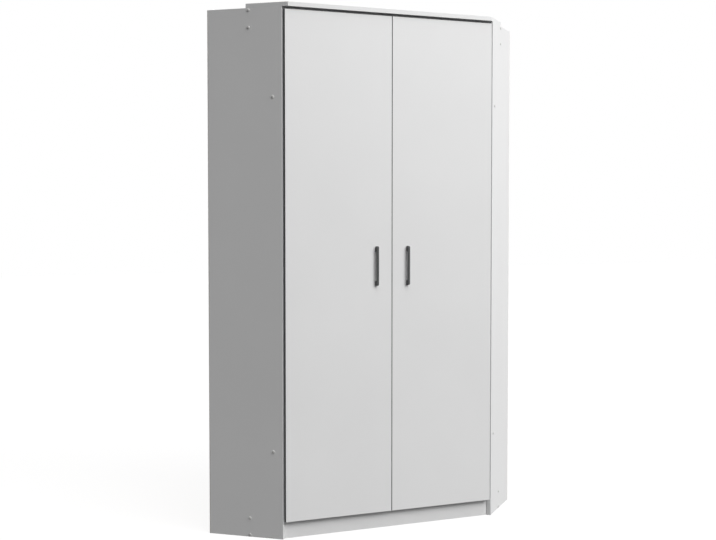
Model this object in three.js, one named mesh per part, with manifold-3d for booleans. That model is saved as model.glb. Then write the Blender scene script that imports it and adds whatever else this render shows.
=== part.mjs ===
// Corner wardrobe with two hinged doors, in millimetres, +Z up, the doors facing -Y.
// In plan it is a square with one corner cut off: two back panels lie along the walls of the room
// and meet at the back, a short side panel stands square to each wall, and the doors close the
// slanted front. The plan is drawn from y = 0, the line through the side panels' front corners,
// and the finished group is moved so that the middle of its footprint lies on the Z axis.

import * as THREE from 'three';
import { mergeVertices } from 'three/addons/utils/BufferGeometryUtils.js';
import Module from 'manifold-3d';

const wasm = await Module();
wasm.setup();

// Overall size
const cabinetHeight = 1980;
const wallLength = 935; // along each wall, from the room's corner to a side panel's outer face
const sideDepth = 300; // side panel and back panel together, measured out from the wall

// Boards
const boardThickness = 16;
const backThickness = 3;
const topOverhang = 17; // top board's front edge ahead of the side panels' front corners
const topReach = 144; // how far the top board runs back along each side panel
const plinthHeight = 62;
const plinthSetback = 14; // plinth's face behind the side panels' front corners
const topRailHeight = 100;
const postLeg = 45; // each side of the three-cornered post along a back panel

// Doors
const doorThickness = 16;
const doorBottomRise = 3; // doors' bottom edge above the plinth's top edge
const doorRoofLap = 7; // how much of the roof board's edge the doors cover
const doorMiddleGap = 3;
const doorSideClearance = 0.7; // door's back corner to the side panel's front edge

// Bumpers behind the doors' free corners
const bumperRadius = 4;
const bumperThickness = 2.5;
const bumperSideInset = 20;
const bumperEndInset = 5;

// Bow handles and their screws
const handleLength = 150;
const handleWidth = 11;
const handleProud = 14; // front face of the handle ahead of the door
const handleInset = 65; // middle of the handle from the door's free edge
const handleBarThickness = 5;
const handleFootLength = 18;
const handleCornerRadius = 2.5;
const handleHoleSpacing = 128;
const handleScrewRadius = 2;
const handleScrewGrip = 8; // thread in the handle's foot
const handleScrewHeadRadius = 4;
const handleScrewHeadThickness = 2.2;

// Concealed hinges
const lowerHingeInset = 260; // from the door's bottom edge
const upperHingeInset = 319; // from the door's top edge
const plateCentreAlong = 37; // from the side panel's front corner
const plateLength = 40;
const plateThickness = 6;
const plateBarHeight = 18;
const plateWingLength = 14;
const plateWingHeight = 52;
const armRearAlong = 61;
const armThickness = 9;
const armHeight = 14;
const armDip = 4; // how far the arm's nose reaches past the door's back face
const cupRadius = 17.5;
const cupDepth = 12;
const cupWall = 1.5;
const cupFlangeRadius = 19;
const cupFlangeThickness = 1.2;
const cupEarWidth = 12;
const cupEarHeight = 60;

// Connecting screws through the side panels
const fixingAlong = 133; // the screws of the boards and cross rails, from the front corner
const fixingPitch = 63; // between the screw of a board and that of the cross rail under it
const fixingRadius = 2.5;
const fixingGrip = 10; // thread in the board behind the side panel
const fixingPlateGrip = 4; // thread in a hinge plate
const fixingHeadRadius = 5.5;
const fixingHeadThickness = 2;

// Hat shelf, its pins and the clothes rail under it
const hatSpace = 248; // clear height between the hat shelf and the roof board
const shelfHingeClearance = 4;
const pinRadius = 2.5;
const pinReach = 8; // part of a pin that carries the shelf
const pinDepth = 8; // part of a pin inside the panel or post
const pinInset = 40; // from the shelf's front corner, and from the back panel
const railRadius = 12.5;
const railWall = 1.2;
const railSetback = 290; // behind the roof and floor boards' front edges
const railDrop = 60; // below the shelf
const railEndClearance = 120; // to the back panels
const railCapThickness = 3;
const railPlugLength = 8;
const bracketInset = 40; // from the rail's end
const bracketThickness = 4;
const bracketRingWall = 4;
const bracketFlangeThickness = 3;
const bracketFlangeLength = 46;
const bracketFlangeWidth = 20;

// Fits, cuts and roundness
const fitGap = 0.3; // between pieces that touch
const cutOverrun = 1;
const roundSteps = 24;
const smallRoundSteps = 12;
const cornerSteps = 4;

const xAxis = new THREE.Vector3(1, 0, 0);
const yAxis = new THREE.Vector3(0, 1, 0);
const zAxis = new THREE.Vector3(0, 0, 1);

// Places in plan and in height that follow from the sizes above
const diagonalShare = Math.SQRT1_2; // x or y share of a length on a 45 degree line
const quarterTurn = Math.PI / 2;
const halfFront = (wallLength - sideDepth) * diagonalShare;
const cornerY = halfFront + (sideDepth + sideDepth) * diagonalShare;
const boardFrontY = boardThickness * diagonalShare;
const doorBackY = boardFrontY - bumperThickness - fitGap - fitGap;
const doorFrontY = doorBackY - doorThickness;
const doorEdgeX = halfFront - doorBackY - doorSideClearance / diagonalShare;
const doorWidth = doorEdgeX - doorMiddleGap / 2;
const floorTop = plinthHeight + boardThickness;
const roofTop = cabinetHeight - boardThickness;
const roofUnderside = roofTop - boardThickness;
const doorBottom = plinthHeight + doorBottomRise;
const doorTop = roofUnderside + doorRoofLap;
const innerCornerY = cornerY - (backThickness + fitGap) / diagonalShare;
const postFrontY = innerCornerY - postLeg * diagonalShare;
const crossRailY = (boardThickness + fixingAlong + fixingGrip / 2) * diagonalShare;
const armCentreInward = boardThickness + fitGap + plateThickness + fitGap + armThickness / 2;
const cupAlong = doorBackY / diagonalShare - armCentreInward;
const cupX = halfFront - (armCentreInward - cupAlong) * diagonalShare;
const armEdgeInward = armCentreInward + armThickness / 2;
const shelfUnderside = roofUnderside - hatSpace - boardThickness;
const shelfFrontY = (armRearAlong + armEdgeInward) * diagonalShare + shelfHingeClearance;
const railY = boardFrontY + railSetback;
const railZ = shelfUnderside - railDrop;
const railHalfLength = innerCornerY - railY - railEndClearance;

// The two sides of the wardrobe. A side panel's group has its origin at the panel's front corner,
// +Y back along the panel and +X or -X (the sign "inward") from its outer face into the cabinet.
const sides = [
  { name: 'left', inward: 1 },
  { name: 'right', inward: -1 },
];
const hinges = [
  { name: 'lower', z: doorBottom + lowerHingeInset },
  { name: 'upper', z: doorTop - upperHingeInset },
];
const fixings = [
  { name: 'floor', z: floorTop - boardThickness / 2 },
  { name: 'bottom_rail', z: floorTop - boardThickness / 2 - fixingPitch },
  { name: 'roof', z: roofTop - boardThickness / 2 },
  { name: 'top_rail', z: roofTop - boardThickness / 2 - fixingPitch },
];

// Finishes
const whiteBoard = { color: 0xf2f2f1, roughness: 0.5, metalness: 0 };
const hardboard = { color: 0xe4e2dd, roughness: 0.8, metalness: 0 };
const rawBatten = { color: 0xc9a878, roughness: 0.8, metalness: 0 };
const graphite = { color: 0x4c4d4f, roughness: 0.45, metalness: 0.3 };
const nickelSteel = { color: 0xb9bab8, roughness: 0.3, metalness: 0.9 };
const chromedSteel = { color: 0xd8d9da, roughness: 0.15, metalness: 1 };
const greyPlastic = { color: 0xa9aaac, roughness: 0.5, metalness: 0 };
const clearRubber = { color: 0xdcdcd8, roughness: 0.6, metalness: 0 };
const whitePlastic = { color: 0xf0f0ef, roughness: 0.45, metalness: 0 };

// A named mesh with its own material, at a place in its parent's frame.
function piece(name, geometry, finish, x = 0, y = 0, z = 0) {
  const mesh = new THREE.Mesh(geometry, new THREE.MeshStandardMaterial(finish));
  mesh.name = name;
  mesh.position.set(x, y, z);
  return mesh;
}

// A closed geometry as a solid that can be joined and cut.
function solidOf(geometry) {
  const bare = geometry.clone();
  bare.deleteAttribute('normal');
  bare.deleteAttribute('uv');
  const merged = mergeVertices(bare);
  const vertProperties = merged.getAttribute('position').array;
  const triVerts = new Uint32Array(merged.index.array);
  return new wasm.Manifold(new wasm.Mesh({ numProp: 3, vertProperties, triVerts }));
}

function geometryOf(solid) {
  const { vertProperties, triVerts } = solid.getMesh();
  const geometry = new THREE.BufferGeometry();
  geometry.setAttribute('position', new THREE.BufferAttribute(vertProperties, 3));
  geometry.setIndex(new THREE.BufferAttribute(triVerts, 1));
  return geometry;
}

function cut(geometry, cutters) {
  return geometryOf(cutters.reduce((solid, cutter) => solid.subtract(solidOf(cutter)), solidOf(geometry)));
}

function join(geometry, added) {
  return geometryOf(solidOf(geometry).add(solidOf(added)));
}

// A round bar along X or Y between two places on that axis.
function bar(axis, radius, from, to) {
  const steps = radius < handleScrewHeadRadius ? smallRoundSteps : roundSteps;
  const cylinder = new THREE.CylinderGeometry(radius, radius, Math.abs(to - from), steps);
  cylinder.translate(0, (from + to) / 2, 0);
  if (axis === 'x') cylinder.rotateZ(-quarterTurn);
  return cylinder;
}

// A turned solid about the Y axis, from points of radius and height.
function turned(points, steps) {
  return new THREE.LatheGeometry(points.map(([r, y]) => new THREE.Vector2(r, y)), steps);
}

// A flat outline of x and y points, thickened upwards from z = 0.
function slab(points, thickness) {
  const outline = new THREE.Shape(points.map(([x, y]) => new THREE.Vector2(x, y)));
  return new THREE.ExtrudeGeometry(outline, { depth: thickness, bevelEnabled: false });
}

// Thickens a shape evenly about its own plane and stands it up: its x and y run along the two
// given directions, and its thickness along the third.
function standing(shape, thickness, across, up, curveSegments) {
  const options = { depth: thickness, bevelEnabled: false, curveSegments };
  const third = new THREE.Vector3().crossVectors(across, up);
  const upright = new THREE.Matrix4().makeBasis(across, up, third);
  return new THREE.ExtrudeGeometry(shape, options).translate(0, 0, -thickness / 2).applyMatrix4(upright);
}

// Plan points of the left half.
function sidePoint(along, inward) {
  return [(inward - along) * diagonalShare - halfFront, (inward + along) * diagonalShare];
}

function wallPoint(fromCorner, inward) {
  return [(inward - fromCorner) * diagonalShare, cornerY - (inward + fromCorner) * diagonalShare];
}

// The end of a board against the left side panel, where it has the given y.
function againstSidePanel(y) {
  const inward = boardThickness + fitGap;
  return sidePoint(y / diagonalShare - inward, inward);
}

// The edge of a board against the left back panel, where it has the given y.
function againstBackPanel(y) {
  const inward = backThickness + fitGap;
  return wallPoint((cornerY - y) / diagonalShare - inward, inward);
}

// The whole outline from the left half's points, listed from front to back.
function mirrored(leftPoints) {
  const rightPoints = leftPoints.map(([x, y]) => [-x, y]).reverse();
  return [...leftPoints, ...rightPoints];
}

// A board that fills the plan between the panels, with its back corner cut off for the post.
function fullBoard(frontY) {
  const rearSide = wallPoint(wallLength - boardThickness - fitGap, backThickness + fitGap);
  const outline = [againstSidePanel(frontY), rearSide, againstBackPanel(postFrontY - fitGap)];
  return slab(mirrored(outline), boardThickness);
}

// A board on edge that runs from side panel to side panel, with slanted ends.
function crossBoard(frontY, height) {
  const outline = [againstSidePanel(frontY), againstSidePanel(frontY + boardThickness)];
  return slab(mirrored(outline), height);
}

function sideFrame(side) {
  const frame = new THREE.Group();
  frame.position.x = -side.inward * halfFront;
  frame.rotation.z = side.inward * (quarterTurn / 2);
  frame.updateMatrix();
  return frame;
}

// The holes that the connecting screws of one height leave in a board or cross rail.
function fixingHoles(fixing, boardBottom) {
  return sides.map((side) => {
    const depth = boardThickness + fixingGrip + fitGap;
    const hole = bar('x', fixingRadius + fitGap, 0, side.inward * depth);
    hole.translate(0, fixingAlong, fixing.z - boardBottom);
    return hole.applyMatrix4(sideFrame(side).matrix);
  });
}

function fixingNamed(name) {
  return fixings.find((fixing) => fixing.name === name);
}

// A side panel, drilled for its connecting screws and shelf pins.
function sidePanel(side, pinPlaces, screwPlaces) {
  const depth = sideDepth - backThickness - fitGap;
  const board = new THREE.BoxGeometry(boardThickness, depth, roofTop);
  board.translate((side.inward * boardThickness) / 2, depth / 2, roofTop / 2);
  const screwHoles = screwPlaces.map(([along, z]) => {
    const past = side.inward * cutOverrun;
    const hole = bar('x', fixingRadius + fitGap, -past, side.inward * boardThickness + past);
    return hole.translate(0, along, z);
  });
  const pinHoles = pinPlaces.map(([along, z]) => {
    const floor = side.inward * (boardThickness - pinDepth - fitGap);
    const mouth = side.inward * (boardThickness + cutOverrun);
    return bar('x', pinRadius + fitGap, floor, mouth).translate(0, along, z);
  });
  return piece(`${side.name}_side_panel`, cut(board, [...screwHoles, ...pinHoles]), whiteBoard);
}

// A connecting screw with a round cap, pushed in from the side panel's outer face.
function fixingScrew(side, name, along, z, grip) {
  const capTop = -fitGap - fixingHeadThickness;
  const tip = boardThickness + grip;
  const profile = [
    [0, capTop],
    [fixingHeadRadius, capTop],
    [fixingHeadRadius, -fitGap],
    [fixingRadius, -fitGap],
    [fixingRadius, tip],
    [0, tip],
  ];
  const screw = turned(profile, smallRoundSteps).rotateZ(-side.inward * quarterTurn);
  return piece(`${side.name}_${name}_screw`, screw, whitePlastic, 0, along, z);
}

// A hinge's mounting plate: a bar along the side panel with an upright wing for its screw.
function hingePlate(side, hinge) {
  const size = [plateThickness, plateLength, plateBarHeight];
  const wingSize = [plateThickness, plateWingLength, plateWingHeight];
  const cross = join(new THREE.BoxGeometry(...size), new THREE.BoxGeometry(...wingSize));
  const face = -side.inward * (plateThickness / 2);
  const holeEnd = face + side.inward * (fixingPlateGrip + fitGap);
  const hole = bar('x', fixingRadius + fitGap, face - side.inward * cutOverrun, holeEnd);
  const x = side.inward * (boardThickness + fitGap + plateThickness / 2);
  const name = `${side.name}_${hinge.name}_hinge_plate`;
  return piece(name, cut(cross, [hole]), nickelSteel, x, plateCentreAlong, hinge.z);
}

// A hinge's arm, which lies on the plate and reaches into the cup in the door.
function hingeArm(side, hinge) {
  const noseAlong = cupAlong - armDip;
  const arm = new THREE.BoxGeometry(armThickness, armRearAlong - noseAlong, armHeight);
  const name = `${side.name}_${hinge.name}_hinge_arm`;
  const x = side.inward * armCentreInward;
  return piece(name, arm, nickelSteel, x, (armRearAlong + noseAlong) / 2, hinge.z);
}

function shelfPin(side, place, along, z) {
  const inner = side.inward * boardThickness;
  const pin = bar('x', pinRadius, inner - side.inward * pinDepth, inner + side.inward * pinReach);
  return piece(`${side.name}_${place}_shelf_pin`, pin, nickelSteel, 0, along, z);
}

// A side panel with everything that is fastened to it.
function sideAssembly(side) {
  const pinZ = shelfUnderside - fitGap - pinRadius;
  const shelfFrontAlong = shelfFrontY / diagonalShare - boardThickness - fitGap;
  const frontPinAlong = shelfFrontAlong + pinInset;
  const rearPinAlong = sideDepth - backThickness - pinInset;
  const pinPlaces = [[frontPinAlong, pinZ], [rearPinAlong, pinZ]];
  const boardScrewPlaces = fixings.map((fixing) => [fixingAlong, fixing.z]);
  const hingeScrewPlaces = hinges.map((hinge) => [plateCentreAlong, hinge.z]);
  const frame = sideFrame(side);
  frame.add(sidePanel(side, pinPlaces, [...boardScrewPlaces, ...hingeScrewPlaces]));
  frame.add(shelfPin(side, 'front', frontPinAlong, pinZ));
  frame.add(shelfPin(side, 'rear', rearPinAlong, pinZ));
  for (const fixing of fixings) {
    frame.add(fixingScrew(side, fixing.name, fixingAlong, fixing.z, fixingGrip));
  }
  for (const hinge of hinges) {
    const screwName = `${hinge.name}_hinge`;
    frame.add(hingePlate(side, hinge));
    frame.add(hingeArm(side, hinge));
    frame.add(fixingScrew(side, screwName, plateCentreAlong, hinge.z, fixingPlateGrip));
  }
  return frame;
}

// The boards between the side panels, and the top board that lies on them.
function boards() {
  const group = new THREE.Group();
  const topFront = sidePoint(-topOverhang / diagonalShare, 0);
  const topRear = sidePoint(topReach, 0);
  const topBoard = slab(mirrored([topFront, topRear]), boardThickness);
  const roof = cut(fullBoard(boardFrontY), fixingHoles(fixingNamed('roof'), roofUnderside));
  const floor = cut(fullBoard(boardFrontY), fixingHoles(fixingNamed('floor'), plinthHeight));
  const crossRailFront = crossRailY - boardThickness / 2;
  const topRailBottom = roofUnderside - topRailHeight;
  const topRailHoles = fixingHoles(fixingNamed('top_rail'), topRailBottom);
  const topRail = cut(crossBoard(crossRailFront, topRailHeight), topRailHoles);
  const bottomRailHoles = fixingHoles(fixingNamed('bottom_rail'), 0);
  const bottomRail = cut(crossBoard(crossRailFront, plinthHeight), bottomRailHoles);
  group.add(piece('top_board', topBoard, whiteBoard, 0, 0, roofTop));
  group.add(piece('roof_board', roof, whiteBoard, 0, 0, roofUnderside));
  group.add(piece('top_cross_rail', topRail, whiteBoard, 0, 0, topRailBottom));
  group.add(piece('floor_board', floor, whiteBoard, 0, 0, plinthHeight));
  group.add(piece('bottom_cross_rail', bottomRail, whiteBoard));
  group.add(piece('plinth_board', crossBoard(plinthSetback, plinthHeight), whiteBoard));
  return group;
}

// The two back panels, which meet in a mitre at the room's corner, and the post inside it.
function back() {
  const group = new THREE.Group();
  const mitre = fitGap * diagonalShare;
  const outline = [
    wallPoint(mitre, 0),
    wallPoint(wallLength, 0),
    wallPoint(wallLength, backThickness),
    wallPoint(backThickness + mitre, backThickness),
  ];
  for (const side of sides) {
    const points = outline.map(([x, y]) => [side.inward * x, y]);
    group.add(piece(`${side.name}_back_panel`, slab(points, roofTop), hardboard));
  }
  const postHalf = postLeg * diagonalShare;
  const postOutline = [[-postHalf, postFrontY], [postHalf, postFrontY], [0, innerCornerY]];
  const pinZ = shelfUnderside - fitGap - pinRadius;
  const pinHole = bar('y', pinRadius + fitGap, postFrontY - cutOverrun, postFrontY + pinDepth + fitGap);
  const post = cut(slab(postOutline, roofTop), [pinHole.translate(0, 0, pinZ)]);
  const pin = bar('y', pinRadius, postFrontY - pinReach, postFrontY + pinDepth);
  group.add(piece('corner_post', post, rawBatten));
  group.add(piece('post_shelf_pin', pin, nickelSteel, 0, 0, pinZ));
  return group;
}

// A bracket that hangs the clothes rail from the shelf: a flange, a web and a ring.
function railBracket() {
  const ringRadius = railRadius + fitGap + bracketRingWall;
  const web = new THREE.Shape();
  web.moveTo(ringRadius, railDrop);
  web.lineTo(-ringRadius, railDrop);
  web.lineTo(-ringRadius, 0);
  web.absarc(0, 0, ringRadius, Math.PI, Math.PI + Math.PI, false);
  web.closePath();
  const hole = new THREE.Path();
  hole.absarc(0, 0, railRadius + fitGap, 0, Math.PI + Math.PI, false);
  web.holes.push(hole);
  const plate = standing(web, bracketThickness, yAxis, zAxis, roundSteps);
  const flange = new THREE.BoxGeometry(bracketFlangeWidth, bracketFlangeLength, bracketFlangeThickness);
  flange.translate(0, 0, railDrop - bracketFlangeThickness / 2);
  return join(plate, flange);
}

// The hat shelf, the tube under it and the tube's brackets and end caps.
function fittings() {
  const group = new THREE.Group();
  group.add(piece('hat_shelf', fullBoard(shelfFrontY), whiteBoard, 0, 0, shelfUnderside));
  const innerRadius = railRadius - railWall;
  const tubeProfile = [
    [innerRadius, -railHalfLength],
    [railRadius, -railHalfLength],
    [railRadius, railHalfLength],
    [innerRadius, railHalfLength],
    [innerRadius, -railHalfLength],
  ];
  const tube = turned(tubeProfile, roundSteps).rotateZ(-quarterTurn);
  group.add(piece('clothes_rail', tube, chromedSteel, 0, railY, railZ));
  const plugRadius = innerRadius - fitGap;
  const capProfile = [
    [0, -railPlugLength],
    [plugRadius, -railPlugLength],
    [plugRadius, fitGap],
    [railRadius, fitGap],
    [railRadius, fitGap + railCapThickness],
    [0, fitGap + railCapThickness],
  ];
  for (const side of sides) {
    const bracketX = side.inward * (bracketInset - railHalfLength);
    const capX = -side.inward * railHalfLength;
    const cap = turned(capProfile, roundSteps).rotateZ(side.inward * quarterTurn);
    group.add(piece(`${side.name}_rail_bracket`, railBracket(), nickelSteel, bracketX, railY, railZ));
    group.add(piece(`${side.name}_rail_cap`, cap, greyPlastic, capX, railY, railZ));
  }
  return group;
}

// A bow handle seen from the side, as one outline: the bar in front and a foot at each end.
function handleShape() {
  const half = handleLength / 2;
  const innerHalf = half - handleFootLength;
  const barBack = handleProud - handleBarThickness;
  const radius = handleCornerRadius;
  const shape = new THREE.Shape();
  shape.moveTo(-half, 0);
  shape.lineTo(-innerHalf, 0);
  shape.lineTo(-innerHalf, barBack - radius);
  shape.absarc(radius - innerHalf, barBack - radius, radius, Math.PI, quarterTurn, true);
  shape.lineTo(innerHalf - radius, barBack);
  shape.absarc(innerHalf - radius, barBack - radius, radius, quarterTurn, 0, true);
  shape.lineTo(innerHalf, 0);
  shape.lineTo(half, 0);
  shape.lineTo(half, handleProud - radius);
  shape.absarc(half - radius, handleProud - radius, radius, 0, quarterTurn, false);
  shape.lineTo(radius - half, handleProud);
  shape.absarc(radius - half, handleProud - radius, radius, quarterTurn, Math.PI, false);
  shape.closePath();
  return shape;
}

function handle(name, x, z) {
  const bow = standing(handleShape(), handleWidth, zAxis, yAxis.clone().negate(), cornerSteps);
  const holes = [-handleHoleSpacing / 2, handleHoleSpacing / 2].map((rise) => {
    const hole = bar('y', handleScrewRadius + fitGap, -handleScrewGrip - fitGap, cutOverrun);
    return hole.translate(0, 0, rise);
  });
  return piece(name, cut(bow, holes), graphite, x, -fitGap, z);
}

// A screw from the door's back face into a handle's foot.
function handleScrew(name, x, z) {
  const underHead = doorThickness + fitGap;
  const headTop = underHead + handleScrewHeadThickness;
  const tip = -fitGap - handleScrewGrip;
  const profile = [
    [0, tip],
    [handleScrewRadius, tip],
    [handleScrewRadius, underHead],
    [handleScrewHeadRadius, underHead],
    [handleScrewHeadRadius, headTop],
    [0, headTop],
  ];
  return piece(name, turned(profile, smallRoundSteps), nickelSteel, x, 0, z);
}

// A hinge's cup: a round bowl sunk in the door, with a rim and two ears on the door's back face.
function hingeCup() {
  const rimTop = fitGap + cupFlangeThickness;
  const innerRadius = cupRadius - cupWall;
  const profile = [
    [0, -cupDepth],
    [cupRadius, -cupDepth],
    [cupRadius, fitGap],
    [cupFlangeRadius, fitGap],
    [cupFlangeRadius, rimTop],
    [innerRadius, rimTop],
    [innerRadius, cupWall - cupDepth],
    [0, cupWall - cupDepth],
  ];
  const ears = new THREE.BoxGeometry(cupEarWidth, cupFlangeThickness, cupEarHeight);
  ears.translate(0, fitGap + cupFlangeThickness / 2, 0);
  const bowl = bar('y', innerRadius, -cutOverrun, rimTop + cutOverrun);
  return join(turned(profile, roundSteps), cut(ears, [bowl]));
}

// A door with its handle, hinge cups and bumpers. The group's origin lies on the hinge axis, the
// door's front outer edge, and "inward" points from there to the door's free edge.
function door(side) {
  const group = new THREE.Group();
  group.position.set(-side.inward * doorEdgeX, doorFrontY, 0);
  const height = doorTop - doorBottom;
  const middleZ = (doorBottom + doorTop) / 2;
  const cupPlaceX = side.inward * (doorEdgeX - cupX);
  const handleX = side.inward * (doorWidth - handleInset);
  const bumperX = side.inward * (doorWidth - bumperSideInset);
  const cupHoles = hinges.map((hinge) => {
    const floor = doorThickness - cupDepth - fitGap;
    const hole = bar('y', cupRadius + fitGap, floor, doorThickness + cutOverrun);
    return hole.translate(cupPlaceX, 0, hinge.z);
  });
  const screwPlaces = [
    { name: 'lower', z: middleZ - handleHoleSpacing / 2 },
    { name: 'upper', z: middleZ + handleHoleSpacing / 2 },
  ];
  const screwHoles = screwPlaces.map((place) => {
    const hole = bar('y', handleScrewRadius + fitGap, -cutOverrun, doorThickness + cutOverrun);
    return hole.translate(handleX, 0, place.z);
  });
  const leaf = new THREE.BoxGeometry(doorWidth, doorThickness, height);
  leaf.translate((side.inward * doorWidth) / 2, doorThickness / 2, middleZ);
  group.add(piece(`${side.name}_door`, cut(leaf, [...cupHoles, ...screwHoles]), whiteBoard));
  group.add(handle(`${side.name}_handle`, handleX, middleZ));
  for (const place of screwPlaces) {
    group.add(handleScrew(`${side.name}_handle_${place.name}_screw`, handleX, place.z));
  }
  for (const hinge of hinges) {
    const name = `${side.name}_${hinge.name}_hinge_cup`;
    group.add(piece(name, hingeCup(), nickelSteel, cupPlaceX, doorThickness, hinge.z));
  }
  const bumperPlaces = [
    { name: 'lower', z: doorBottom + bumperEndInset },
    { name: 'upper', z: doorTop - bumperEndInset },
  ];
  for (const place of bumperPlaces) {
    const bumper = bar('y', bumperRadius, fitGap, fitGap + bumperThickness);
    const name = `${side.name}_${place.name}_bumper`;
    group.add(piece(name, bumper, clearRubber, bumperX, doorThickness, place.z));
  }
  return group;
}

function wardrobe() {
  const group = new THREE.Group();
  group.add(boards(), back(), fittings());
  for (const side of sides) group.add(sideAssembly(side), door(side));
  const frontmostY = doorFrontY - fitGap - handleProud;
  const rearmostY = cornerY - fitGap * diagonalShare * diagonalShare;
  group.position.y = -(frontmostY + rearmostY) / 2;
  return group;
}

export default wardrobe();
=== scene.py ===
# %% [markdown]
# A white corner wardrobe. Its boards are chipboard with a melamine skin, its doors carry dark bow
# handles, and its inside holds a hat shelf and a clothes rail. The construction comes from the
# frame: every board, hinge and screw is already there at its real size. This script gives each of
# them the finish of the real thing: rounded edge bands, bare chipboard where no band is glued,
# pressed steel hinges, moulded caps. Lengths are in metres, +Z is up and the doors face -Y.

# %% The frame
import math

import bmesh
import bpy
from mathutils import Matrix, Vector


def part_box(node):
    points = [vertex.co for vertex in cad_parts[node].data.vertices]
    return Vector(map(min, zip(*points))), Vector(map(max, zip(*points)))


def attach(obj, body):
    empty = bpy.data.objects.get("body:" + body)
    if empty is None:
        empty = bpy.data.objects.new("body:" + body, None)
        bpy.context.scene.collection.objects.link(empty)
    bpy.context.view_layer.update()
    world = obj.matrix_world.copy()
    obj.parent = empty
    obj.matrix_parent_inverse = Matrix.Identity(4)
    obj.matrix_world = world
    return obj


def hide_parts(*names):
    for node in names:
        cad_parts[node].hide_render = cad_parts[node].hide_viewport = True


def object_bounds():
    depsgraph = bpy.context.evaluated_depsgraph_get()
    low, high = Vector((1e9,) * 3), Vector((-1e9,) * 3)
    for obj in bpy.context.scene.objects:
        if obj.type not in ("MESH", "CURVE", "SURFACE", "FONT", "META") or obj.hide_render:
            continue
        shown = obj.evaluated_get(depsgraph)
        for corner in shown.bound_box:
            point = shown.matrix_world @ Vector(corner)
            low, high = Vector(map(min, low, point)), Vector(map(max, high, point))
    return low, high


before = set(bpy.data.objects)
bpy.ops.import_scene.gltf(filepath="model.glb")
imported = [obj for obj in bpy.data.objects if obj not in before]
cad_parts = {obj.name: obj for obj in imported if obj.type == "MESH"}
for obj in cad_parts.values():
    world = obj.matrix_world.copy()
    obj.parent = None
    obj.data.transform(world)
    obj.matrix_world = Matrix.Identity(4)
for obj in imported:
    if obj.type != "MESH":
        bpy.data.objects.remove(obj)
cad_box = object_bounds()
MM = 0.001
SIDES = {"left": -1, "right": 1}
print("nodes in the frame:", len(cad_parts))

# %% [markdown]
# Colours are chosen on a screen, so they are written as sRGB hex values, and a shader wants
# linear light. One function turns one into the other. One more adds a shader node: it sets the
# node's properties and its sockets, and where a socket's value is another node's output it makes
# the link.

# %% Helpers for finishes
def linear(code):
    """An sRGB hex colour, such as F0F0EE, as the linear colour that a shader socket takes."""
    parts = [int(code[i:i + 2], 16) / 255 for i in (0, 2, 4)]
    return [p / 12.92 if p <= 0.04045 else ((p + 0.055) / 1.055) ** 2.4 for p in parts] + [1.0]


def add_node(material, kind, sockets=None, **settings):
    """Adds a node, sets its properties, and fills its sockets with values or links."""
    node = material.node_tree.nodes.new(kind)
    for name, value in settings.items():
        setattr(node, name, value)
    for name, value in (sockets or {}).items():
        if isinstance(value, bpy.types.NodeSocket):
            material.node_tree.links.new(value, node.inputs[name])
        else:
            node.inputs[name].default_value = value
    return node


def start_finish(name):
    """A new, empty material and its Object coordinates, which are true metres here."""
    material = bpy.data.materials.new(name)
    material.use_nodes = True
    material.node_tree.nodes.clear()
    place = add_node(material, "ShaderNodeTexCoord").outputs["Object"]
    return material, place


def end_finish(material, sockets):
    """Closes a material with one Principled shader and an output."""
    shader = add_node(material, "ShaderNodeBsdfPrincipled", sockets)
    add_node(material, "ShaderNodeOutputMaterial", {"Surface": shader.outputs["BSDF"]})
    print("finish:", material.name, "with", len(material.node_tree.nodes), "nodes")
    return material


def ramp(material, factor, stops):
    """Turns a pattern into colours: stops are pairs of position and hex colour."""
    node = add_node(material, "ShaderNodeValToRGB", {"Fac": factor})
    elements = node.color_ramp.elements
    while len(elements) < len(stops):
        elements.new(0.5)
    for element, (position, code) in zip(elements, stops):
        element.position = position
        element.color = linear(code)
    return node.outputs["Color"]


# %% [markdown]
# Melamine-faced chipboard: paper soaked in resin is pressed on the board with an embossed steel
# sheet, which leaves a very fine pearl texture and a satin sheen. The real pearls are about half
# a millimetre wide, too fine to show here, so a slow wave of a few millimetres stands for them.
# A broad, faint change of tone keeps a large face from looking like paint on a screen.

# %% Melamine
PEARL_SIZE = 5 * MM
TONE_SIZE = 420 * MM


def melamine_skin():
    material, place = start_finish("melamine_faced_chipboard_white")
    tone = add_node(material, "ShaderNodeTexNoise", {
        "Vector": place, "Scale": 1 / TONE_SIZE, "Detail": 3.0})
    pearl = add_node(material, "ShaderNodeTexNoise", {
        "Vector": place, "Scale": 1 / PEARL_SIZE, "Detail": 4.0})
    colour = ramp(material, tone.outputs["Fac"], [(0.25, "EEEEEE"), (0.75, "F2F2F2")])
    sheen = add_node(material, "ShaderNodeMapRange", {
        "Value": pearl.outputs["Fac"], "To Min": 0.40, "To Max": 0.52})
    bump = add_node(material, "ShaderNodeBump", {
        "Height": pearl.outputs["Fac"], "Strength": 0.12, "Distance": 0.12 * MM})
    return end_finish(material, {
        "Base Color": colour, "Roughness": sheen.outputs["Result"],
        "IOR": 1.5, "Normal": bump.outputs["Normal"]})


MELAMINE = melamine_skin()

# %% [markdown]
# The edge band is a strip of ABS, extruded and glued on hot, then milled flush with a small
# radius. It is a little smoother and a little cooler in tone than the face, and faint lines a
# little under a millimetre apart run along it from the extruder. The carcass has a white band. The
# doors get a grey one, which is painted shade: its grey stands in for the deep shade in the gaps
# round the doors and on the left door's outer edge, where white edges would light up the gaps.

# %% Edge bands
BAND_LINE = 0.8 * MM
BAND_LINE_STRETCH = 50  # a line's length over its width


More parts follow.
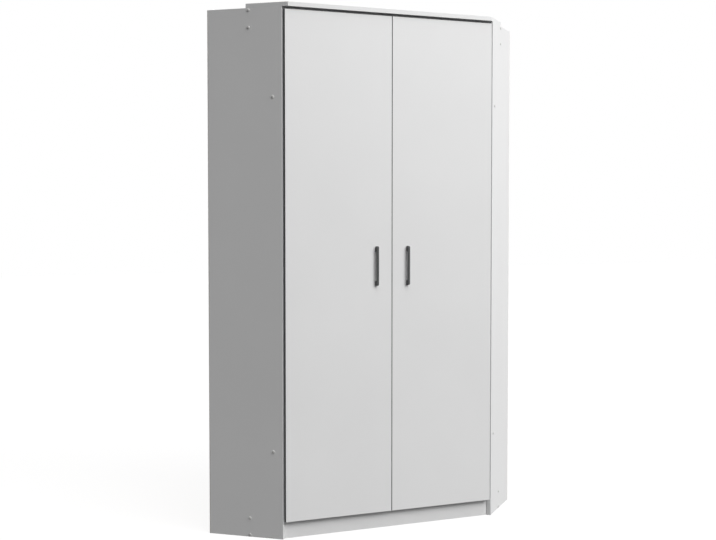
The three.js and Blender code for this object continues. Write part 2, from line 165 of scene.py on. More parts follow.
def edge_band(name, stops):
    """A glued-on strip of ABS in the tones that the stops give."""
    material, place = start_finish(name)
    streaks = add_node(material, "ShaderNodeMapping", {
        "Vector": place, "Scale": (1.0, 1.0, 1 / BAND_LINE_STRETCH)})
    lines = add_node(material, "ShaderNodeTexNoise", {
        "Vector": streaks.outputs["Vector"], "Scale": 1 / BAND_LINE, "Detail": 2.0})
    colour = ramp(material, lines.outputs["Fac"], stops)
    sheen = add_node(material, "ShaderNodeMapRange", {
        "Value": lines.outputs["Fac"], "To Min": 0.34, "To Max": 0.42})
    bump = add_node(material, "ShaderNodeBump", {
        "Height": lines.outputs["Fac"], "Strength": 0.15, "Distance": 0.05 * MM})
    return end_finish(material, {
        "Base Color": colour, "Roughness": sheen.outputs["Result"],
        "IOR": 1.52, "Normal": bump.outputs["Normal"]})


WHITE_BAND = edge_band("abs_edge_band_white", [(0.2, "EBECEC"), (0.8, "EFEFEF")])
# The doors' grey band is painted shade for the gaps round them.
PAINTED_SHADE_BAND = edge_band("abs_edge_band_grey_painted_shade", [(0.2, "5C5E60"), (0.8, "646668")])

# %% [markdown]
# Where no band is glued, the sawn edge shows the board itself: flat wood chips of 2 to 6 mm in
# brown glue, with open pores between them. A pattern of cells squashed in height gives each chip
# its own tone, and the cells' borders give the pores.

# %% Bare chipboard
CHIP_LENGTH = 4.5 * MM
CHIP_FLATNESS = 2.6  # a chip's length over its height


def chipboard_core():
    material, place = start_finish("chipboard_sawn_edge")
    flat = add_node(material, "ShaderNodeMapping", {
        "Vector": place, "Scale": (1.0, 1.0, CHIP_FLATNESS)})
    cells = {"Vector": flat.outputs["Vector"], "Scale": 1 / CHIP_LENGTH, "Randomness": 1.0}
    chips = add_node(material, "ShaderNodeTexVoronoi", cells)
    borders = add_node(material, "ShaderNodeTexVoronoi", cells, feature="DISTANCE_TO_EDGE")
    tone = add_node(material, "ShaderNodeSeparateColor", {"Color": chips.outputs["Color"]})
    colour = ramp(
        material, tone.outputs["Red"], [(0.0, "8C6B45"), (0.5, "B8976A"), (1.0, "D8C096")])
    bump = add_node(material, "ShaderNodeBump", {
        "Height": borders.outputs["Distance"], "Strength": 0.6, "Distance": 0.5 * MM})
    return end_finish(material, {
        "Base Color": colour, "Roughness": 0.88, "Normal": bump.outputs["Normal"]})


CHIPBOARD = chipboard_core()

# %% [markdown]
# The back panels are 3 mm hardboard: wood fibres pressed to a thin, hard sheet. The side towards
# the room's wall is left brown, with short fibres in it, and the inner side has a white lacquer
# that lets a trace of the fibres through. Real fibres are about 2 mm wide, too fine to show from
# where a wardrobe is seen, so they are drawn at about three times that, and a faint cloudiness
# of a hand's width lies under them.

# %% Hardboard
FIBRE_WIDTH = 6 * MM
FIBRE_SQUEEZE = 0.3  # the pattern's scale along the fibres, which makes them longer than wide
CLOUD_SIZE = 120 * MM
CLOUD_SHARE = 0.35  # strength of the clouds beside the fibres


def hardboard(name, stops, roughness, depth):
    """Pressed wood fibres, raw or under a lacquer, with a relief of the given depth."""
    material, place = start_finish(name)
    stretched = add_node(material, "ShaderNodeMapping", {
        "Vector": place, "Scale": (1.0, 1.0, FIBRE_SQUEEZE)})
    fibres = add_node(material, "ShaderNodeTexNoise", {
        "Vector": stretched.outputs["Vector"], "Scale": 1 / FIBRE_WIDTH,
        "Detail": 6.0, "Roughness": 0.65})
    clouds = add_node(material, "ShaderNodeTexNoise", {
        "Vector": place, "Scale": 1 / CLOUD_SIZE, "Detail": 4.0})
    both = add_node(material, "ShaderNodeMath", {
        0: clouds.outputs["Fac"], 1: CLOUD_SHARE, 2: fibres.outputs["Fac"]},
        operation="MULTIPLY_ADD")
    level = add_node(material, "ShaderNodeMath", {
        0: both.outputs["Value"], 1: 1 + CLOUD_SHARE}, operation="DIVIDE")
    colour = ramp(material, level.outputs["Value"], stops)
    bump = add_node(material, "ShaderNodeBump", {
        "Height": fibres.outputs["Fac"], "Strength": 0.3, "Distance": depth})
    return end_finish(material, {
        "Base Color": colour, "Roughness": roughness, "Normal": bump.outputs["Normal"]})


BROWN_HARDBOARD = hardboard(
    "hardboard_raw_brown", [(0.35, "7A5C40"), (0.5, "8F6F50"), (0.65, "A38463")], 0.72, 0.2 * MM)
WHITE_HARDBOARD = hardboard(
    "hardboard_white_lacquer", [(0.35, "E6E5E1"), (0.65, "EEEDEA")], 0.5, 0.08 * MM)

# %% [markdown]
# The post in the corner is a planed spruce batten: pale yellow early wood with darker, narrow
# late wood lines, about 3 mm apart, that run along it. Rings of a stretched, warped wave make the
# lines.

# %% Spruce
RING_WIDTH = 3.2 * MM
RING_STRETCH = 25  # how much slower the pattern changes along the batten than across it


def spruce():
    material, place = start_finish("spruce_planed")
    along = add_node(material, "ShaderNodeMapping", {
        "Vector": place, "Scale": (1.0, 1.0, 1 / RING_STRETCH)})
    rings = add_node(material, "ShaderNodeTexWave", {
        "Vector": along.outputs["Vector"], "Scale": 1 / (RING_WIDTH * math.tau),
        "Distortion": 3.0, "Detail": 3.0, "Detail Scale": 0.6},
        wave_type="RINGS", rings_direction="Z")
    colour = ramp(
        material, rings.outputs["Fac"], [(0.0, "E3C797"), (0.6, "D9B982"), (1.0, "B98C55")])
    bump = add_node(material, "ShaderNodeBump", {
        "Height": rings.outputs["Fac"], "Strength": 0.2, "Distance": 0.1 * MM})
    return end_finish(material, {
        "Base Color": colour, "Roughness": 0.6, "Normal": bump.outputs["Normal"]})


SPRUCE = spruce()

# %% [markdown]
# The handles are zinc die-castings with a graphite powder coat: nearly black grey, satin, with
# the fine orange peel that a baked powder leaves. The peel is about a millimetre wide.

# %% Graphite powder coat
PEEL_SIZE = 1.1 * MM


def graphite_coat():
    material, place = start_finish("zinc_diecast_graphite_powder_coat")
    peel = add_node(material, "ShaderNodeTexNoise", {
        "Vector": place, "Scale": 1 / PEEL_SIZE, "Detail": 2.0})
    colour = ramp(material, peel.outputs["Fac"], [(0.3, "3A3B3C"), (0.7, "404142")])
    sheen = add_node(material, "ShaderNodeMapRange", {
        "Value": peel.outputs["Fac"], "To Min": 0.36, "To Max": 0.46})
    bump = add_node(material, "ShaderNodeBump", {
        "Height": peel.outputs["Fac"], "Strength": 0.35, "Distance": 0.06 * MM})
    return end_finish(material, {
        "Base Color": colour, "Metallic": 0.0, "Roughness": sheen.outputs["Result"],
        "IOR": 1.5, "Normal": bump.outputs["Normal"]})


GRAPHITE = graphite_coat()

# %% [markdown]
# Hinges, pins and brackets are steel with a nickel plate: a warm, slightly cloudy metal. The tube
# of the clothes rail is chromed: colder and sharper. Both are metals, so their colour is the
# colour of the reflection, and only roughness and a little cloudiness tell them apart.

# %% Plated steel
def plated_steel(name, stops, low, high, grain):
    """A bright metal, whose roughness drifts between two values over clouds of a given size."""
    material, place = start_finish(name)
    clouds = add_node(material, "ShaderNodeTexNoise", {
        "Vector": place, "Scale": 1 / grain, "Detail": 4.0})
    colour = ramp(material, clouds.outputs["Fac"], stops)
    sheen = add_node(material, "ShaderNodeMapRange", {
        "Value": clouds.outputs["Fac"], "To Min": low, "To Max": high})
    return end_finish(material, {
        "Base Color": colour, "Metallic": 1.0, "Roughness": sheen.outputs["Result"]})


NICKEL = plated_steel(
    "nickel_plated_steel", [(0.3, "B4B1A9"), (0.7, "C6C4BE")], low=0.24, high=0.36, grain=6 * MM)
CHROME = plated_steel(
    "chromed_steel_tube", [(0.3, "D3D5D7"), (0.7, "DEDFE1")], low=0.08, high=0.14, grain=30 * MM)

# %% [markdown]
# Three moulded plastics: the white polypropylene caps on the connecting screws, drawn a shade
# greyer than the boards, which is painted shade, the grey end caps of the tube, and the soft,
# milky bumpers behind the doors. Each takes a spark-eroded texture from its mould, a small noise
# in height and gloss. Its real grain is about a tenth of a millimetre, too fine to show even on
# parts as small as these, so it is drawn several times as coarse.

# %% Moulded plastics
GLOSS_DRIFT = 0.04  # how far the roughness goes up and down with the texture


def moulded(name, stops, roughness, grain):
    """A plastic with the texture of its mould, of the given grain, in gloss and height."""
    material, place = start_finish(name)
    texture = add_node(material, "ShaderNodeTexNoise", {
        "Vector": place, "Scale": 1 / grain, "Detail": 3.0})
    colour = ramp(material, texture.outputs["Fac"], stops)
    sheen = add_node(material, "ShaderNodeMapRange", {
        "Value": texture.outputs["Fac"],
        "To Min": roughness - GLOSS_DRIFT, "To Max": roughness + GLOSS_DRIFT})
    bump = add_node(material, "ShaderNodeBump", {
        "Height": texture.outputs["Fac"], "Strength": 0.2, "Distance": 0.04 * MM})
    return end_finish(material, {
        "Base Color": colour, "Roughness": sheen.outputs["Result"],
        "IOR": 1.49, "Normal": bump.outputs["Normal"]})


# The caps' grey tone is painted shade: the real caps are as white as the boards.
WHITE_CAP_PAINTED_SHADE = moulded(
    "polypropylene_cap_white_painted_shade", [(0.3, "D8D8D6"), (0.7, "DCDCDA")], roughness=0.45, grain=0.7 * MM)
GREY_CAP = moulded(
    "polypropylene_cap_grey", [(0.3, "A2A4A7"), (0.7, "A9ABAE")], roughness=0.45, grain=0.7 * MM)
BUMPER = moulded(
    "polyurethane_bumper_milky", [(0.3, "D9DAD6"), (0.7, "E2E3DF")], roughness=0.3, grain=1.5 * MM)

# %% [markdown]
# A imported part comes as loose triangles. A copy of it is welded, and the triangles that lie in one
# plane are dissolved into whole faces, so that its real edges can be rounded. A finished mesh
# becomes an object that rides on its body and stands for the node it was made from.

# %% Helpers for pieces
WELD = 0.005 * MM  # points closer than this are one point
COPLANAR = math.radians(1)  # faces that turn by less than this are one flat


def weld(mesh):
    """Merges the points that lie on each other."""
    bmesh.ops.remove_doubles(mesh, verts=mesh.verts, dist=WELD)


def welded_copy(node):
    """A bmesh of a frame node, with its triangles joined into whole faces that shade flat."""
    mesh = bmesh.new()
    mesh.from_mesh(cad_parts[node].data)
    weld(mesh)
    bmesh.ops.dissolve_limit(
        mesh, angle_limit=COPLANAR, verts=mesh.verts, edges=mesh.edges, delimit=set())
    for face in mesh.faces:
        face.smooth = False
    return mesh


def round_edges(mesh, edges, radius, segments=3, clamp=True):
    """Rounds the given edges, and lets the new strips shade smooth."""
    made = bmesh.ops.bevel(
        mesh, geom=edges, offset=radius, offset_type="OFFSET", segments=segments,
        profile=0.5, affect="EDGES", clamp_overlap=clamp, material=-1)
    for face in made["faces"]:
        face.smooth = True


def sharp_edges(mesh, longer_than, turn=30):
    """The edges over a length where the surface turns by more than some degrees."""
    found = []
    for edge in mesh.edges:
        if len(edge.link_faces) == 2 and edge.calc_length() > longer_than:
            if edge.calc_face_angle() > math.radians(turn):
                found.append(edge)
    return found


def finished_piece(name, mesh, materials, body, slot, *nodes):
    """Makes the bmesh an object of its own that stands for the named nodes."""
    data = bpy.data.meshes.new(name)
    mesh.to_mesh(data)
    mesh.free()
    for material in materials:
        data.materials.append(material)
    piece = bpy.data.objects.new(name, data)
    bpy.context.scene.collection.objects.link(piece)
    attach(piece, body)
    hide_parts(*nodes)
    size = [round(v / MM, 1) for v in piece.dimensions]
    print(f"{name}: {len(data.polygons)} faces, {size} mm")
    return piece


# %% [markdown]
# Every board has two broad faces with the melamine skin and four narrow ones. The visible narrow
# ones carry the edge band, whose corners are milled to a radius of a third of a millimetre, which
# softens every outline a little. The hidden ones are bare chipboard. Which is which follows from
# the way a face points, so one function serves all the boards.

# %% Boards
BAND_RADIUS = 0.35 * MM
SHORT_EDGE = 10 * MM  # edges under this belong to bored holes and stay as they are
FLAT = 0.95  # a normal's share along an axis, over which a face counts as square to it
TOWARDS = 0.5  # the share over which a face still points that way
DIAGONAL = math.sqrt(0.5)
UP = Vector((0, 0, 1))
FRONT, BACK = Vector((0, -1, 0)), Vector((0, 1, 0))
RIGHT = Vector((1, 0, 0))


def into_cabinet(sign):
    """The direction square to a side panel, from its outer face inwards."""
    return Vector((-sign * DIAGONAL, DIAGONAL, 0))


def clad_board(node, body, broad, banded, band=WHITE_BAND):
    """A board in its skin: melamine on the broad faces, band or bare chipboard on its edges."""
    mesh = welded_copy(node)
    round_edges(mesh, sharp_edges(mesh, longer_than=SHORT_EDGE), BAND_RADIUS)
    for face in mesh.faces:
        if abs(face.normal.dot(broad)) > FLAT:
            face.material_index = 0
        elif any(face.normal.dot(way) > TOWARDS for way in banded):
            face.material_index = 1
        else:
            face.material_index = 2
    finished_piece(f"{node}_clad", mesh, [MELAMINE, band, CHIPBOARD], body, "white_board", node)


for side, sign in SIDES.items():
    forward = Vector((-sign * DIAGONAL, -DIAGONAL, 0))
    clad_board(f"{side}_side_panel", "cabinet", into_cabinet(sign), [forward, UP])
clad_board("top_board", "cabinet", UP, [FRONT, BACK, RIGHT, -RIGHT])
for node in ("roof_board", "floor_board", "hat_shelf"):
    clad_board(node, "cabinet", UP, [FRONT])
clad_board("plinth_board", "cabinet", FRONT, [UP])
clad_board("top_cross_rail", "cabinet", FRONT, [-UP])
clad_board("bottom_cross_rail", "cabinet", FRONT, [])

# %% [markdown]
# The doors are boards as well, with the grey band, painted shade for the gaps, on all four
# edges. Their back faces have the bored holes of the hinge cups, which stay as they are.

# %% Door leaves
for side in SIDES:
    clad_board(f"{side}_door", f"{side}_door", FRONT, [UP, -UP, RIGHT, -RIGHT], PAINTED_SHADE_BAND)

# %% [markdown]
# The back panels keep their shape. The face towards the wall stays brown, and the lacquer of the
# inner face goes round the edges, so a welded copy gets its two materials by the way its faces
# point.

# %% Back panels
for side, sign in SIDES.items():
    to_wall = Vector((sign * DIAGONAL, DIAGONAL, 0))
    mesh = welded_copy(f"{side}_back_panel")
    for face in mesh.faces:
        face.material_index = 0 if face.normal.dot(to_wall) > FLAT else 1
    finished_piece(
        f"{side}_back_panel_sheet", mesh, [BROWN_HARDBOARD, WHITE_HARDBOARD],
        "cabinet", "hardboard", f"{side}_back_panel")

# %% [markdown]
# A die-cast bow handle is one body: a bar with a foot at each end. Its front is well rounded, so
# that it feels soft in the hand, and in the light from the right its left flank stays dark while
# the right one is lit. Its two ends are alike, so only the upper half is modelled: an outline of
# six corners in a side view, extruded to the handle's width. Bevels round the corners of the
# outline, the broad front rim and, with a smaller radius, the rim of the finger gap, and a mirror
# adds the lower half. The front rim's bevel is wider than the short edges in its corner, so it is
# told not to clamp itself to them.

# %% Handles
BAR_THICKNESS = 5 * MM
FOOT_LENGTH = 18 * MM
BOW_CORNER = 6 * MM
GAP_CORNER = 3 * MM
FRONT_RADIUS = 3.8 * MM
GAP_RADIUS = 0.8 * MM
NEAR = 0.1 * MM  # a point within this of a plane lies in it


def upper_half(low, high, middle):
    """The upper half of the bow with sharp edges, open where the lower half will join it."""
    mesh = bmesh.new()
    inner, gap_top = low.y + BAR_THICKNESS, high.z - FOOT_LENGTH
    corners = [
        (low.y, middle.z), (inner, middle.z), (inner, gap_top),
        (high.y, gap_top), (high.y, high.z), (low.y, high.z)]
    outline = mesh.faces.new([mesh.verts.new((low.x, y, z)) for y, z in corners])
    made = bmesh.ops.extrude_face_region(mesh, geom=[outline])
    moved = [item for item in made["geom"] if isinstance(item, bmesh.types.BMVert)]
    bmesh.ops.translate(mesh, verts=moved, vec=(high.x - low.x, 0, 0))
    bmesh.ops.recalc_face_normals(mesh, faces=mesh.faces)
    cut = [face for face in mesh.faces if face.calc_center_median().z < middle.z + NEAR]
    bmesh.ops.delete(mesh, geom=cut, context="FACES_ONLY")
    return mesh


def bevel_where(mesh, radius, segments, wanted, clamp=True):
    """Rounds the edges that a test on an edge picks."""
    round_edges(mesh, [edge for edge in mesh.edges if wanted(edge)], radius, segments, clamp)


def bow_handle(side):
    """A whole handle from one half: its outline, its rims, and then the mirrored half."""
    low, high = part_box(f"{side}_handle")
    middle = (low + high) / 2
    mesh = upper_half(low, high, middle)

    def across(edge, y):
        """True on an edge over the handle's width that lies at a depth y, inside the half."""
        wide = abs(edge.verts[0].co.x - edge.verts[1].co.x) > MM
        return wide and abs(edge.verts[0].co.y - y) < NEAR and len(edge.link_faces) == 2

    def beside(edge, outward):
        """True on a rim of a side face where the bow's skin faces outwards, or into the gap."""
        sides = [face for face in edge.link_faces if abs(face.normal.x) > FLAT]
        skin = [face for face in edge.link_faces if abs(face.normal.x) < TOWARDS]
        if len(sides) != 1 or len(skin) != 1 or skin[0].normal.y > FLAT and outward:
            return False
        faces_out = (skin[0].calc_center_median() - middle).dot(skin[0].normal) > 0
        return faces_out == outward

    bevel_where(mesh, BOW_CORNER, 6, lambda edge: across(edge, low.y))
    bevel_where(mesh, GAP_CORNER, 4, lambda edge: across(edge, low.y + BAR_THICKNESS))
    bevel_where(mesh, FRONT_RADIUS, 6, lambda edge: beside(edge, True), clamp=False)
    bevel_where(mesh, GAP_RADIUS, 3, lambda edge: beside(edge, False))
    half = [*mesh.verts, *mesh.edges, *mesh.faces]
    bmesh.ops.mirror(mesh, geom=half, matrix=Matrix.Translation(-middle), axis="Z")
    weld(mesh)
    bmesh.ops.recalc_face_normals(mesh, faces=mesh.faces)
    finished_piece(
        f"{side}_bow_handle", mesh, [GRAPHITE], f"{side}_door", "graphite_handle",
        f"{side}_handle")


for side in SIDES:
    bow_handle(side)

# %% [markdown]
# Round pieces come out of the frame with few sides. They are turned again here with 48: a profile
# of a few points is spun about an axis. The profile is in radius and height, and a matrix puts
# the height along the piece's own axis.

# %% A helper for turned pieces
SPIN_STEPS = 48
CREASE = math.radians(35)  # an edge that turns by more than this stays crisp


def turned(profile, origin, axis):
    """A solid of revolution from points of radius and height along an axis through origin."""
    mesh = bmesh.new()
    points = [mesh.verts.new((radius, 0, height)) for radius, height in profile]
    edges = [mesh.edges.new(pair) for pair in zip(points, points[1:])]
    bmesh.ops.spin(
        mesh, geom=points + edges, cent=(0, 0, 0), axis=(0, 0, 1), angle=math.tau,
        steps=SPIN_STEPS, use_merge=True, use_duplicate=False)
    weld(mesh)
    bmesh.ops.recalc_face_normals(mesh, faces=mesh.faces)
    turn = UP.rotation_difference(axis).to_matrix().to_4x4()
    bmesh.ops.transform(mesh, verts=mesh.verts, matrix=Matrix.Translation(origin) @ turn)
    for face in mesh.faces:
        face.smooth = True
    return mesh


def mark_creases(piece):
    """Keeps the rims of a turned piece crisp while its round faces shade smooth."""
    piece.data.set_sharp_from_angle(angle=CREASE)


def rounded(radius, start, end, rim, steps=4):
    """Profile points of a disc's side from start to end, whose far rim is rounded."""
    way = math.copysign(1, end - start)
    points = [(radius, start)]
    for step in range(steps + 1):
        turn = math.radians(90 * step / steps)
        points.append((radius - rim * (1 - math.cos(turn)), end - way * rim * (1 - math.sin(turn))))
    return points


def add_part(mesh, part):
    """Puts a second bmesh into the first one, so that both become one piece."""
    data = bpy.data.meshes.new("part")
    part.to_mesh(data)
    part.free()
    mesh.from_mesh(data)
    bpy.data.meshes.remove(data)


# %% [markdown]
# The connecting screws come through the side panels. Each has a pushed-on white cap with a flat
# top and a soft rim, which shows in raking light as a bright and a dark crescent. The cap and the
# steel screw behind it are turned in one go, and the faces get their material by their place.

# %% Capped screws
SCREWS = ("floor", "bottom_rail", "roof", "top_rail", "lower_hinge", "upper_hinge")
CAP_RADIUS = 5.5 * MM
CAP_RIM = 1.5 * MM  # radius of the rounding at the cap's top
CAP_TOP = 2.3 * MM  # ahead of the side panel's face
CAP_BASE = 0.3 * MM  # where the cap starts, ahead of the face as well
SHAFT_RADIUS = 2.5 * MM
POINT_LENGTH = 2 * MM


def capped_screw(side, sign, name):
    """A connecting screw with its cap, square to the side panel that it goes through."""
    node = f"{side}_{name}_screw"
    low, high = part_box(node)
    tip = (high.x - low.x) / DIAGONAL - CAP_RADIUS - SHAFT_RADIUS - CAP_TOP
    reach = (CAP_RADIUS + CAP_TOP) * DIAGONAL
    outermost = low.x if sign < 0 else high.x
    origin = Vector((outermost - sign * reach, low.y + reach, (low.z + high.z) / 2))
    inward = into_cabinet(sign)
    rim = rounded(CAP_RADIUS, -CAP_BASE, -CAP_TOP, CAP_RIM)
    profile = [(0, -CAP_TOP), *reversed(rim), (SHAFT_RADIUS, -CAP_BASE)]
    profile += [(SHAFT_RADIUS, tip - POINT_LENGTH), (0, tip)]
    mesh = turned(profile, origin, inward)
    for face in mesh.faces:
        depth = (face.calc_center_median() - origin).dot(inward)
        face.material_index = 1 if depth > 0 else 0
    return finished_piece(
        f"{node}_capped", mesh, [WHITE_CAP_PAINTED_SHADE, NICKEL], "cabinet", "white_cap", node)


for side, sign in SIDES.items():
    for name in SCREWS:
        mark_creases(capped_screw(side, sign, name))

# %% [markdown]
# A concealed hinge has three parts. The mounting plate is screwed to the side panel, and the arm is
# clipped on the plate. Both lie along the panel, which stands at 45 degrees, so they are made in
# the panel's own axes (inward, along and up) and a matrix turns them into place. The arm is a
# pressed channel: a block with a narrower nose, whose top face is inset and pushed in, and which
# holds the two screws that adjust the door.

# %% Hinge arms and plates
HINGES = ("lower", "upper")
NOSE_LENGTH = 26 * MM
NOSE_SHARE = 0.72  # height of the nose over the arm's height
CHANNEL_RIM = 2.2 * MM
CHANNEL_DEPTH = 1.4 * MM
ARM_SCREW_RADIUS = 3.4 * MM
ARM_SCREW_SHARES = (0.52, 0.84)  # where the arm's screws sit, as shares of its length
PLATE_SCREW_RADIUS = 3.8 * MM
PLATE_SCREW_HEIGHT = 1.2 * MM
PLATE_SCREW_RISE = 18 * MM
PRESSED_RADIUS = 0.8 * MM
RECESS_FLOOR, RECESS_MOUTH = 0.30, 0.42  # radii of a screw's drive, over its head's radius
HEAD_ROUND = 0.7  # the rounded share of a screw head's height


def panel_axes(sign):
    """Turns a side panel's own axes, inward, along and up, into the room's."""
    return Matrix(((-sign * DIAGONAL, sign * DIAGONAL, 0), (DIAGONAL, DIAGONAL, 0), (0, 0, 1)))


def own_box(node, axes):
    """The lowest and the highest corner of a node, measured along a panel's own axes."""
    places = [axes.transposed() @ vertex.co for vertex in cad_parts[node].data.vertices]
    corners = zip(*places)
    low, high = zip(*((min(values), max(values)) for values in corners))
    return Vector(low), Vector(high)


def screw_head(radius, height, origin, axis):
    """A low pan head with a round drive recess, turned about an axis that points out of it."""
    recess = [
        (0, height / 4), (radius * RECESS_FLOOR, height / 4), (radius * RECESS_MOUTH, height)]
    flank = reversed(rounded(radius, 0, height, height * HEAD_ROUND))
    return turned([*recess, *flank, (0, 0)], origin, axis)


def hinge_arm(side, sign, name):
    """The pressed arm of a hinge with its two adjusting screws."""
    node = f"{side}_{name}_hinge_arm"
    axes = panel_axes(sign)
    low, high = own_box(node, axes)
    middle, waist = (low + high) / 2, low.y + NOSE_LENGTH
    mesh = bmesh.new()
    bmesh.ops.create_cube(mesh, size=1.0)
    bmesh.ops.scale(mesh, verts=mesh.verts, vec=high - low)
    bmesh.ops.translate(mesh, verts=mesh.verts, vec=middle)
    everything = [*mesh.verts, *mesh.edges, *mesh.faces]
    bmesh.ops.bisect_plane(mesh, geom=everything, plane_co=(0, waist, 0), plane_no=(0, 1, 0))
    nose = [vertex for vertex in mesh.verts if vertex.co.y < waist - MM]
    bmesh.ops.scale(mesh, verts=nose, vec=(1, 1, NOSE_SHARE), space=Matrix.Translation(-middle))
    mesh.normal_update()
    top = [
        face for face in mesh.faces
        if face.normal.x > FLAT and face.calc_center_median().y > waist]
    bmesh.ops.inset_region(
        mesh, faces=top, thickness=CHANNEL_RIM, depth=-CHANNEL_DEPTH, use_even_offset=True)
    round_edges(mesh, sharp_edges(mesh, longer_than=3 * MM), PRESSED_RADIUS)
    bmesh.ops.transform(mesh, verts=mesh.verts, matrix=axes.to_4x4())
    bmesh.ops.recalc_face_normals(mesh, faces=mesh.faces)
    inward = axes @ Vector((1, 0, 0))
    for share in ARM_SCREW_SHARES:
        place = Vector((high.x - CHANNEL_DEPTH, low.y + (high.y - low.y) * share, middle.z))
        add_part(mesh, screw_head(ARM_SCREW_RADIUS, CHANNEL_DEPTH, axes @ place, inward))
    return finished_piece(f"{node}_pressed", mesh, [NICKEL], "cabinet", "nickelled_steel", node)


def hinge_plate(side, sign, name):
    """The mounting plate of a hinge with the two screws that hold it."""
    node = f"{side}_{name}_hinge_plate"
    axes = panel_axes(sign)
    low, high = own_box(node, axes)
    middle = (low + high) / 2
    mesh = welded_copy(node)
    round_edges(mesh, sharp_edges(mesh, longer_than=5 * MM), PRESSED_RADIUS)
    inward = axes @ Vector((1, 0, 0))
    for rise in (-PLATE_SCREW_RISE, PLATE_SCREW_RISE):
        place = Vector((high.x, middle.y, middle.z + rise))
        add_part(mesh, screw_head(PLATE_SCREW_RADIUS, PLATE_SCREW_HEIGHT, axes @ place, inward))
    return finished_piece(f"{node}_cast", mesh, [NICKEL], "cabinet", "nickelled_steel", node)


for side, sign in SIDES.items():
    for name in HINGES:
        mark_creases(hinge_arm(side, sign, name))
        mark_creases(hinge_plate(side, sign, name))

# %% [markdown]
# The third part is the cup, a deep-drawn steel bowl sunk in the door's back. It is turned, with a
# rounded bottom and rim. Two lugs with a screw each hold it, and a pin crosses it, on which the
# hinge's links turn. The lugs stay a tenth of a millimetre under the rim, so no faces coincide.

# %% Hinge cups
CUP_RADIUS = 17.5 * MM
CUP_WALL = 1.5 * MM
CUP_DEPTH = 12 * MM
BOTTOM_OUTSIDE, BOTTOM_INSIDE = 2.5 * MM, 2 * MM  # radii of the bowl's lower corner
RIM_RADIUS = 19 * MM
RIM_TOP = 1.5 * MM  # above the door's back face
RIM_BASE = 0.3 * MM
RIM_ROUND = 0.4 * MM
LUG_WIDTH = 12 * MM
LUG_CORNER = 5 * MM
LUG_OVERLAP = 0.5 * MM  # how far a lug reaches in under the rim
LUG_DROP = 0.1 * MM  # its face under the rim's top
LUG_SCREW_RADIUS = 3.2 * MM
LUG_SCREW_HEIGHT = 0.8 * MM
LUG_SCREW_SINK = 0.2 * MM
PIN_RADIUS = 1.4 * MM
PIN_DEPTH = 7.5 * MM
PIN_OFFSET = 8 * MM  # from the cup's middle towards the hinge's side of the door
PIN_HALF = 13.4 * MM  # half its length, where it meets the bowl's wall


def bowl_profile():
    """The bowl's section: up its outside, over the rim and down its inside."""
    mouth = CUP_RADIUS - CUP_WALL
    outside = rounded(CUP_RADIUS, RIM_BASE, -CUP_DEPTH, BOTTOM_OUTSIDE)
    inside = rounded(mouth, RIM_TOP - RIM_ROUND, CUP_WALL - CUP_DEPTH, BOTTOM_INSIDE)
    rim = [*rounded(RIM_RADIUS, RIM_BASE, RIM_TOP, RIM_ROUND), (mouth + RIM_ROUND, RIM_TOP)]
    bottom_out, bottom_in = (0, -CUP_DEPTH), (0, CUP_WALL - CUP_DEPTH)
    return [bottom_out, *reversed(outside), *rim, *inside, bottom_in]


def cup_lug(mouth, way, end):
    """A flat lug from under the rim to its end, above the cup or below it, with round corners."""
    start = CUP_RADIUS - LUG_OVERLAP
    thickness = RIM_TOP - RIM_BASE - LUG_DROP
    mesh = bmesh.new()
    bmesh.ops.create_cube(mesh, size=1.0)
    bmesh.ops.scale(mesh, verts=mesh.verts, vec=(LUG_WIDTH, thickness, end - start))
    place = mouth + Vector((0, RIM_BASE + thickness / 2, way * (start + end) / 2))
    bmesh.ops.translate(mesh, verts=mesh.verts, vec=place)

    def outer_corner(edge):
        middle = (edge.verts[0].co + edge.verts[1].co) / 2
        lies_across = abs(edge.verts[0].co.y - edge.verts[1].co.y) > thickness / 2
        return lies_across and way * (middle.z - place.z) > 0

    bevel_where(mesh, LUG_CORNER, 6, outer_corner)
    return mesh


def hinge_cup(side, sign, name):
    """The drawn cup of a hinge with its lugs, their screws and the pin."""
    node = f"{side}_{name}_hinge_cup"
    low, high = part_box(node)
    mouth = Vector(((low.x + high.x) / 2, high.y - RIM_TOP, (low.z + high.z) / 2))
    mesh = turned(bowl_profile(), mouth, BACK)
    reach = (high.z - low.z) / 2
    for way in (-1, 1):
        add_part(mesh, cup_lug(mouth, way, reach))
        halfway = way * (RIM_RADIUS + reach) / 2
        screw_place = mouth + Vector((0, RIM_TOP - LUG_SCREW_SINK, halfway))
        add_part(mesh, screw_head(LUG_SCREW_RADIUS, LUG_SCREW_HEIGHT, screw_place, BACK))
    pin = [(0, -PIN_HALF), (PIN_RADIUS, -PIN_HALF), (PIN_RADIUS, PIN_HALF), (0, PIN_HALF)]
    add_part(mesh, turned(pin, mouth + Vector((sign * PIN_OFFSET, -PIN_DEPTH, 0)), UP))
    return finished_piece(
        f"{node}_drawn", mesh, [NICKEL], f"{side}_door", "nickelled_steel", node)


for side, sign in SIDES.items():
    for name in HINGES:
        mark_creases(hinge_cup(side, sign, name))

# %% [markdown]
# The clothes rail is a chromed steel tube. It hangs under the shelf in two flat brackets, and a
# moulded cap with a soft rim closes each end. The tube and the caps are turned about the x axis;
# the brackets keep their shape and get the small radius that a stamped and tumbled edge has.

# %% Clothes rail
TUBE_WALL = 1.2 * MM
CAP_PLUG = 8 * MM  # the part of the cap that goes into the tube
PLUG_PLAY = 0.3 * MM
CAP_FLANGE = 3 * MM
FLANGE_ROUND = 1.2 * MM
TUMBLED_RADIUS = 0.5 * MM


def rail_tube():
    low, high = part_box("clothes_rail")
    middle, half, radius = (low + high) / 2, (high.x - low.x) / 2, (high.z - low.z) / 2
    bore = radius - TUBE_WALL
    wall = [(bore, -half), (radius, -half), (radius, half), (bore, half)]
    mesh = turned([*wall, wall[0]], middle, RIGHT)
    return finished_piece(
        "clothes_rail_tube", mesh, [CHROME], "cabinet", "chromed_tube", "clothes_rail")


